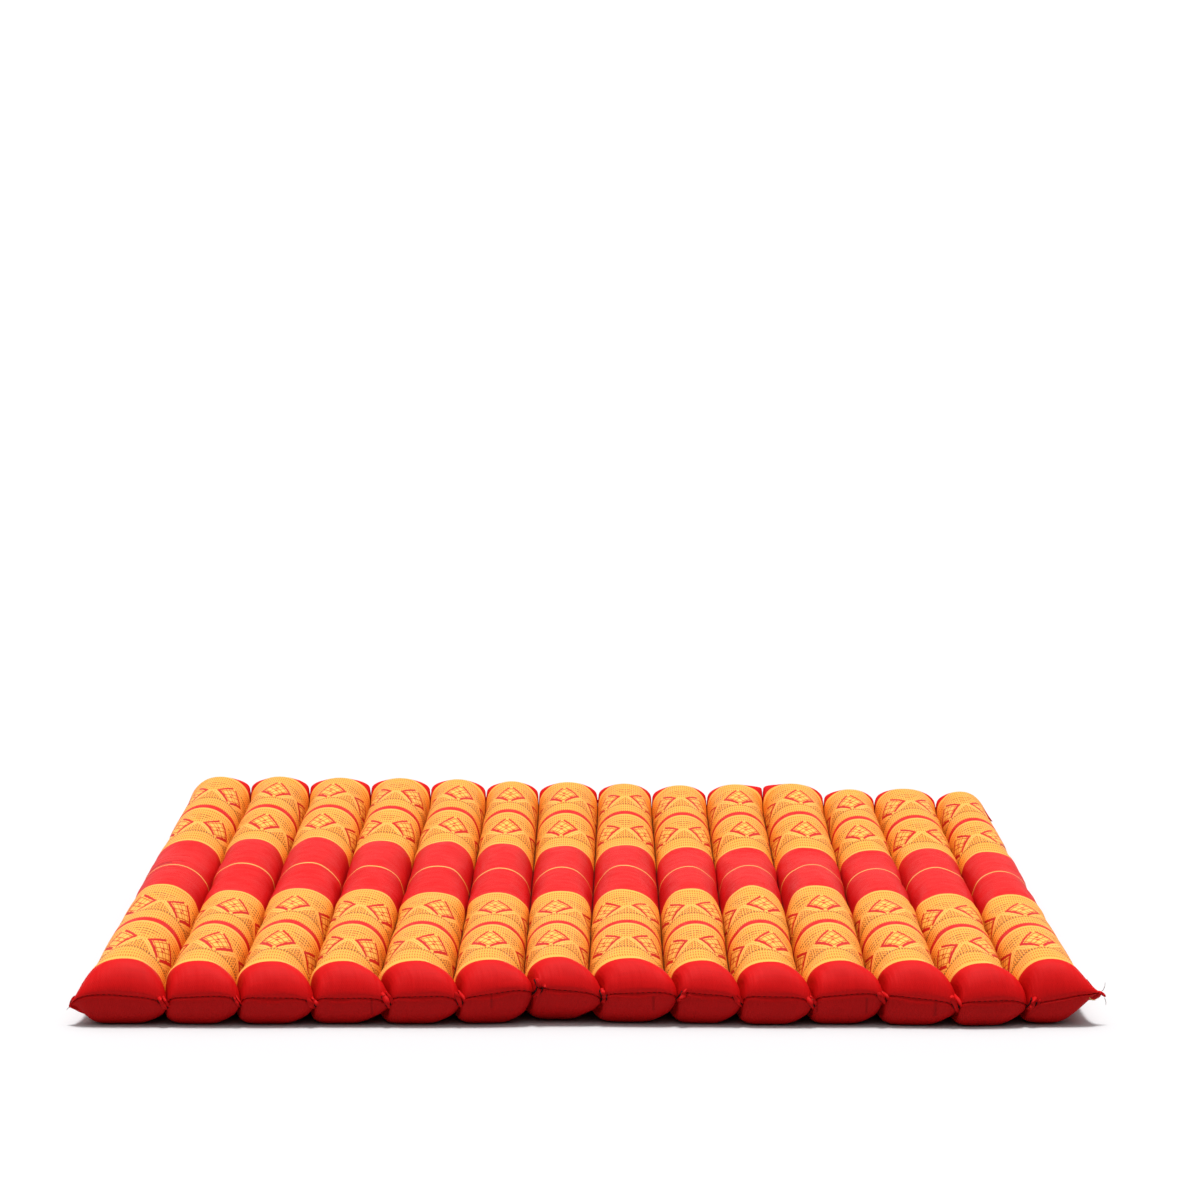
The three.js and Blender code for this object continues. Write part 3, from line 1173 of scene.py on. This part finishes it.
def sweep(
    bm: bmesh.types.BMesh,
    path: Sequence[Vector],
    radii: Sequence[float],
    sides: int,
    flat: float,
    twist: float,
) -> None:
    """Draw a round or flattened roll along a path, closed at both ends.

    Args:
        bm: Mesh that takes the roll.
        path: Points that it follows.
        radii: Its radius at each of them.
        sides: Sides of its section.
        flat: Thickness of the section against its width.
        twist: How far the section turns from start to end, in degrees.
    """
    frames = []
    for k, point in enumerate(path):
        ahead = path[min(k + 1, len(path) - 1)] - path[max(k - 1, 0)]
        turn = ahead.to_track_quat("Z", "Y").to_matrix().to_4x4()
        spin = Matrix.Rotation(math.radians(twist) * k / (len(path) - 1), 4, "Z")
        size = Matrix.Diagonal((radii[k], radii[k] * flat, radii[k], 1.0))
        frames.append(Matrix.Translation(point) @ turn @ spin @ size)
    ring = bmesh.ops.create_circle(bm, cap_ends=True, segments=sides, radius=1.0, matrix=frames[0])["verts"]
    made = set(ring)
    face = ring[0].link_faces[0]
    for previous, current in zip(frames, frames[1:]):
        grown = bmesh.ops.extrude_face_region(bm, geom=[face])["geom"]
        ring = [item for item in grown if isinstance(item, bmesh.types.BMVert)]
        face = next(item for item in grown if isinstance(item, bmesh.types.BMFace))
        bmesh.ops.transform(bm, matrix=current @ previous.inverted(), verts=ring)
        made.update(ring)
    faces = {item for vert in made for item in vert.link_faces}
    for item in faces:
        item.smooth = True
    bmesh.ops.recalc_face_normals(bm, faces=list(faces))


def as_piece(bm: bmesh.types.BMesh, name: str, material: bpy.types.Material) -> bpy.types.Object:
    """Turn a finished bmesh into a piece with one material."""
    mesh = bpy.data.meshes.new(name)
    bm.to_mesh(mesh)
    bm.free()
    mesh.materials.append(material)
    return linked(name, mesh)


@dataclass(frozen=True)
class Stitching:
    """Machine stitches along the end seams, the side seams and the sewn lines underneath."""

    pitch: float = 4.0
    length: float = 2.7
    thickness: float = 0.7

    def build(self, cover: MatCover) -> bpy.types.Object:
        """Sew the stitches into the seams of the cover.

        Args:
            cover: The stuffed cover.

        Returns:
            The finished piece.
        """
        last = cover.last_row()
        rows = range(last + 1)
        lines = [[cover.place(Panel.TOP, c, row) for c in range(cover.width + 1)] for row in (0, last)]
        for column in range(0, cover.width + 1, cover.columns):
            panel = Panel.TOP if column in (0, cover.width) else Panel.UNDER
            lines.append([cover.place(panel, column, row) for row in rows])
        bm = bmesh.new()
        for points in lines:
            sewn = self.line(points)
            bm.from_mesh(sewn)
            bpy.data.meshes.remove(sewn)
        return as_piece(bm, "seam_stitches", SewingThread().material())

    def line(self, points: Sequence[Vector]) -> bpy.types.Mesh:
        """Lay stitches along one line of points.

        Args:
            points: The seam.

        Returns:
            The stitches as a mesh of their own.
        """
        bm = bmesh.new()
        run = [0.0]
        for first, second in zip(points, points[1:]):
            run.append(run[-1] + (second - first).length)
        half = Vector((self.thickness / 2, self.thickness / 2, self.length / 2)) * MM
        for k in range(int(run[-1] / (self.pitch * MM))):
            at = (k + 0.5) * self.pitch * MM
            j = max(1, next(i for i, reach in enumerate(run) if reach >= at))
            step = points[j] - points[j - 1]
            place = points[j - 1] + step * ((at - run[j - 1]) / max(run[j] - run[j - 1], TINY))
            turn = step.to_track_quat("Z", "Y").to_matrix().to_4x4()
            matrix = Matrix.Translation(place) @ turn @ Matrix.Diagonal((*half, 1.0))
            bmesh.ops.create_icosphere(bm, subdivisions=1, radius=1.0, matrix=matrix)
        for face in bm.faces:
            face.smooth = True
        sewn = bpy.data.meshes.new("stitch_line")
        bm.to_mesh(sewn)
        bm.free()
        return sewn


@dataclass(frozen=True)
class Gather:
    """The twisted fold at the end of a sewn line: sideways lean, drop, thickness and sideways bow."""

    line: int
    lean: float
    drop: float
    thick: float
    bow: float


FRONT_GATHERS = (
    Gather(1, 4.8, 9, 2.6, 0.5),
    Gather(2, 4.5, 9, 1.6, 0.3),
    Gather(3, 4.5, 7, 3.0, 0.8),
    Gather(4, 4.7, 11, 3.0, 1.2),
    Gather(5, 3.8, 10.5, 3.0, 1.5),
    Gather(6, -2.0, 11, 3.2, 3.5),
    Gather(7, 0.5, 8.5, 3.0, 1.5),
    Gather(8, -5.0, 9, 3.8, 0.8),
    Gather(9, 6.5, 11, 2.2, 0.3),
    Gather(10, 5.0, 9.5, 2.6, 1.0),
    Gather(11, 4.5, 7, 3.2, 1.2),
    Gather(12, 5.0, 12, 3.2, 0.6),
    Gather(13, -4.0, 8.5, 3.6, 1.0),
)


@dataclass(frozen=True)
class PinchGathers:
    """Small twisted folds of cloth where the sewn lines run out at the ends."""

    sides: int = 10
    steps: int = 12
    stand_out: float = 6.4
    root_depth: float = 2.0
    lean_share: float = 1.3
    side_tuck: float = 0.9
    margin: float = 0.03
    roll_share: float = 0.66
    roll_flat: float = 0.62
    tip_share: float = 0.35
    wave: float = 0.16
    wave_turn: float = 9.0
    twist: float = 150.0
    twist_step: float = 40.0
    tack_radius: float = 0.5
    tack_sides: int = 6
    rolls: tuple[tuple[float, float], ...] = ((0.0, 1.0), (1.15, 0.7))
    # Dark thread laid beside each roll: partly real tacking, partly painted shade for the slits.
    slit_shade_tacks: tuple[tuple[float, float], ...] = ((-0.62, 0.9), (0.6, 0.75))

    def build(self, cover: MatCover) -> list[bpy.types.Object]:
        """Gather the cloth at both ends of every inner sewn line, and tack it down with dark thread that
        also stands in for the shade of the slits beside each fold.

        Args:
            cover: The stuffed cover.

        Returns:
            The folds and the tacking stitches beside them, which also stand in for the shade of the slits.
        """
        folds, slit_shade_tacks = bmesh.new(), bmesh.new()
        for gather in FRONT_GATHERS:
            column = gather.line * cover.columns
            for row, outward in ((0, -1.0), (cover.last_row(), 1.0)):
                pinch = cover.place(Panel.TOP, column, row)
                self.fold(folds, pinch, gather, outward)
                self.tack_and_shade_slit(slit_shade_tacks, pinch, gather, outward)
        return [
            as_piece(folds, "pinch_gathers", self.cloth().material()),
            as_piece(slit_shade_tacks, "pinch_tacks_slit_shade", SewingThread(name="tacking_thread_slit_shade").material()),
        ]

    @staticmethod
    def cloth() -> PlainCotton:
        """A red darker than the top cloth's, painted shade for the depth of the folds."""
        return PlainCotton(name="gathered_red_cotton", colour=SHADED_GATHER_RED, mapped=False)

    def route(self, pinch: Vector, gather: Gather, outward: float, side: float, drop: float) -> list[Vector]:
        """Points that a fold follows down to the pinch.

        Args:
            pinch: End of the sewn line.
            gather: Sizes of the fold.
            outward: Direction away from the mat along y.
            side: How far beside the main roll it lies, in roll thicknesses.
            drop: Length of it against the main roll.

        Returns:
            The points.
        """
        points = []
        for k in range(self.steps + 1):
            t = k / self.steps
            swell = swelling(t, self.margin)
            x = self.lean_share * gather.lean * (t - 1.0) + gather.bow * swell + side * gather.thick
            y = outward * (self.stand_out * swell**0.5 - abs(side) * self.side_tuck)
            z = (gather.drop + self.root_depth) * (1.0 - t) * drop - self.root_depth + abs(side)
            points.append(pinch + Vector((x, y, z)) * MM)
        return points

    def fold(self, bm: bmesh.types.BMesh, pinch: Vector, gather: Gather, outward: float) -> None:
        """Roll one fold: a main roll and a thinner one beside it.

        Args:
            bm: Mesh that takes the fold.
            pinch: End of the sewn line.
            gather: Sizes of the fold.
            outward: Direction away from the mat along y.
        """
        twist = self.twist + self.twist_step * (gather.line % 3)
        for side, share in self.rolls:
            path = self.route(pinch, gather, outward, side, (1 + share) / 2)
            radii = []
            for k in range(self.steps + 1):
                t = k / self.steps
                full = FORM.lerp(self.tip_share, 1.0, swelling(t, self.margin) ** 0.6)
                wave = 1 + self.wave * math.sin(self.wave_turn * t + gather.line)
                radii.append(gather.thick * self.roll_share * share * wave * full * MM)
            sweep(bm, path, radii, self.sides, self.roll_flat, twist)

    def tack_and_shade_slit(self, bm: bmesh.types.BMesh, pinch: Vector, gather: Gather, outward: float) -> None:
        """Run two dark tacking stitches down beside the main roll; they also stand in for the shade in the
        slits there.

        Args:
            bm: Mesh that takes the stitches.
            pinch: End of the sewn line.
            gather: Sizes of the fold.
            outward: Direction away from the mat along y.
        """
        for side, drop in self.slit_shade_tacks:
            path = self.route(pinch, gather, outward, side, drop)
            sweep(bm, path, [self.tack_radius * MM] * len(path), self.tack_sides, 1.0, 0.0)


@dataclass(frozen=True)
class Strand:
    """A fold or a thread end at a front corner: its side, its thickness and its route from the ear's tip."""

    left: bool
    thick: float
    route: tuple[tuple[float, float, float], ...]


CORNER_FOLDS = (
    Strand(True, 3.4, ((-0.5, -0.5, 0), (1.5, 0, 4), (3, 0, 6.5), (6.5, 1, 7.5))),
    Strand(True, 3.8, ((7.5, 2, 10), (8.5, 1.5, 13.5), (10, 1.5, 16), (14, 3, 18))),
    Strand(True, 2.4, ((-0.5, -0.8, 0), (5, -2, 0), (9, -1, 2), (12, 1, 6))),
    Strand(True, 5.0, ((-0.5, -0.5, 0), (4, -1, 0.5), (9, -1, -2), (16, 1, -7))),
    Strand(False, 2.4, ((-2, -0.5, 1), (0.5, -1, 0.5), (2, -1, -1.5), (3.6, -0.5, -3))),
    Strand(False, 5.0, ((0.5, -0.5, 0.5), (0, -1, -1.5), (-3, -1, -3), (-10, 0.5, -4.5))),
    Strand(False, 2.4, ((0.5, -0.5, 0), (-4, -2, 1), (-7, -1, 4), (-10, 2, 9))),
)

PALE_ENDS = (
    Strand(True, 0.6, ((0, -0.5, -0.3), (-1.2, -0.8, -0.8), (-2.4, -0.5, -2.6))),
    Strand(False, 0.5, ((0, -0.5, 0.5), (3.4, -0.5, 2), (3.2, -0.5, 7.5))),
    Strand(False, 0.5, ((2.6, -0.5, -3.6), (4.4, -0.8, -6), (4, -0.5, -9.3))),
)

GOLD_ENDS = (
    Strand(False, 0.7, ((-9.5, -5, -0.5), (-8.5, -6.5, -4.5), (-4, -4.5, -4.5))),
)


@dataclass(frozen=True)
class CornerWork:
    """The gathered ears of the front corners and the thread ends left on them."""

    steps: int = 14
    sides: int = 8
    margin: float = 0.06
    fullness: float = 0.35
    fold_flat: float = 0.6
    twist: float = 120.0

    def build(self, cover: MatCover) -> list[bpy.types.Object]:
        """Gather the ears and leave the thread ends.

        Args:
            cover: The stuffed cover.

        Returns:
            The finished pieces.
        """
        pale = SewingThread(name="pale_thread", colour=PALE_THREAD)
        gold = SewingThread(name="gold_thread", colour=GOLD_THREAD)
        kinds = (
            ("ear_folds", CORNER_FOLDS, PinchGathers.cloth(), self.fold_flat),
            ("pale_thread_ends", PALE_ENDS, pale, 1.0),
            ("gold_thread_end", GOLD_ENDS, gold, 1.0),
        )
        return [self.strands(cover, *kind) for kind in kinds]

    def strands(
        self,
        cover: MatCover,
        name: str,
        strands: Sequence[Strand],
        finish: PlainCotton | SewingThread,
        flat: float,
    ) -> bpy.types.Object:
        """Lay strands of one kind.

        Args:
            cover: The stuffed cover.
            name: Name of the piece.
            strands: Sizes and routes.
            finish: What they are made of.
            flat: Thickness of a section against its width.

        Returns:
            The finished piece.
        """
        bm = bmesh.new()
        for strand in strands:
            tip = cover.place(Panel.TOP, 0 if strand.left else cover.width, 0)
            path = [tip + point * MM for point in self.curved(strand.route)]
            radii = []
            for k in range(self.steps + 1):
                full = swelling(k / self.steps, self.margin) ** self.fullness
                radii.append(strand.thick / 2 * full * MM)
            sweep(bm, path, radii, self.sides, flat, self.twist)
        return as_piece(bm, name, finish.material())

    def curved(self, route: Sequence[Sequence[float]]) -> list[Vector]:
        """Points of the smooth curve that the corners of a route draw in."""
        points = []
        for k in range(self.steps + 1):
            row = [Vector(corner) for corner in route]
            while len(row) > 1:
                row = [first.lerp(second, k / self.steps) for first, second in zip(row, row[1:])]
            points.append(row[0])
        return points


@dataclass(frozen=True)
class Studio:
    """Pale floor, soft light and the camera."""

    camera_place: tuple[float, float, float] = (8.1, -2772.7, 655.6)
    camera_pitch: float = 8.134
    camera_turn: float = -0.061
    focal_length: float = 103.88
    sensor: float = 36.0
    floor_half: float = 40.0
    zenith: float = 2.4
    horizon: float = 1.25
    front_horizon: float = 0.1
    ambient: float = 0.02
    backdrop: float = 1.9
    band_fall: float = 6.0
    wall_fall: float = 1.8
    key: float = 3.9
    key_spread: float = 13.0

    def build(self) -> None:
        """Make floor, lights and camera."""
        self.floor()
        self.key_light()
        self.dome()
        self.camera()
        bpy.context.scene.view_settings.view_transform = "Standard"

    def floor(self) -> None:
        """Lay the floor."""
        bm = bmesh.new()
        bmesh.ops.create_grid(bm, x_segments=2, y_segments=2, size=self.floor_half)
        as_piece(bm, "floor", PaleGround().material())

    def key_light(self) -> None:
        """Hang a wide key light straight above the mat."""
        lamp = bpy.data.lights.new("key_light", "SUN")
        lamp.energy = self.key
        lamp.angle = math.radians(self.key_spread)
        holder = bpy.data.objects.new("key_light", lamp)
        bpy.context.scene.collection.objects.link(holder)

    def dome(self) -> None:
        """Surround the scene with white light that comes mostly from above."""
        world = bpy.data.worlds.new("studio")
        graph = Graph(world)
        direction = graph.node("ShaderNodeTexCoord")
        parts = graph.node("ShaderNodeSeparateXYZ", None, {0: graph.out(direction, "Generated")})
        up = graph.math("MAXIMUM", graph.out(parts, 2), 0.0)
        behind = graph.math("MAXIMUM", graph.out(parts, 1), 0.0)
        facing = graph.math("GREATER_THAN", graph.out(parts, 1), 0.0)
        level = facing * (self.horizon - self.front_horizon) + self.front_horizon
        band = graph.math("MAXIMUM", 1.0 - up * self.band_fall, 0.0) * level
        wall = graph.math("MAXIMUM", 1.0 - up * self.wall_fall, 0.0) * behind * behind
        high = up * up
        strength = high * high * self.zenith + band + wall * self.backdrop + self.ambient
        white = (1.0, 1.0, 1.0, 1.0)
        ground = graph.node("ShaderNodeBackground", None, {"Color": white, "Strength": strength})
        output = graph.node("ShaderNodeOutputWorld")
        graph.tree.links.new(ground.outputs[0], output.inputs[0])
        bpy.context.scene.world = world

    def camera(self) -> None:
        """Set the camera where the photograph was taken from."""
        lens = bpy.data.cameras.new("camera")
        lens.lens = self.focal_length
        lens.sensor_width = self.sensor
        holder = bpy.data.objects.new("camera", lens)
        holder.location = Vector(self.camera_place) * MM
        holder.rotation_euler = (math.radians(90 - self.camera_pitch), 0.0, math.radians(self.camera_turn))
        bpy.context.scene.collection.objects.link(holder)
        bpy.context.scene.camera = holder


def report(pieces: Iterable[bpy.types.Object]) -> None:
    """Log each piece with its number of faces."""
    for piece in pieces:
        LOG.info("%s: %d faces", piece.name, len(piece.data.polygons))


def main() -> None:
    """Build the mat and the studio around it."""
    logging.basicConfig(level=logging.INFO)
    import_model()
    cover = MatCover()
    mat = cover.build()
    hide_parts(NODE)
    pieces = [mat, Stitching().build(cover), *PinchGathers().build(cover), *CornerWork().build(cover)]
    for piece in pieces:
        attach(piece, BODY)
    Studio().build()
    report(pieces)


if __name__ == "__main__":
    main()
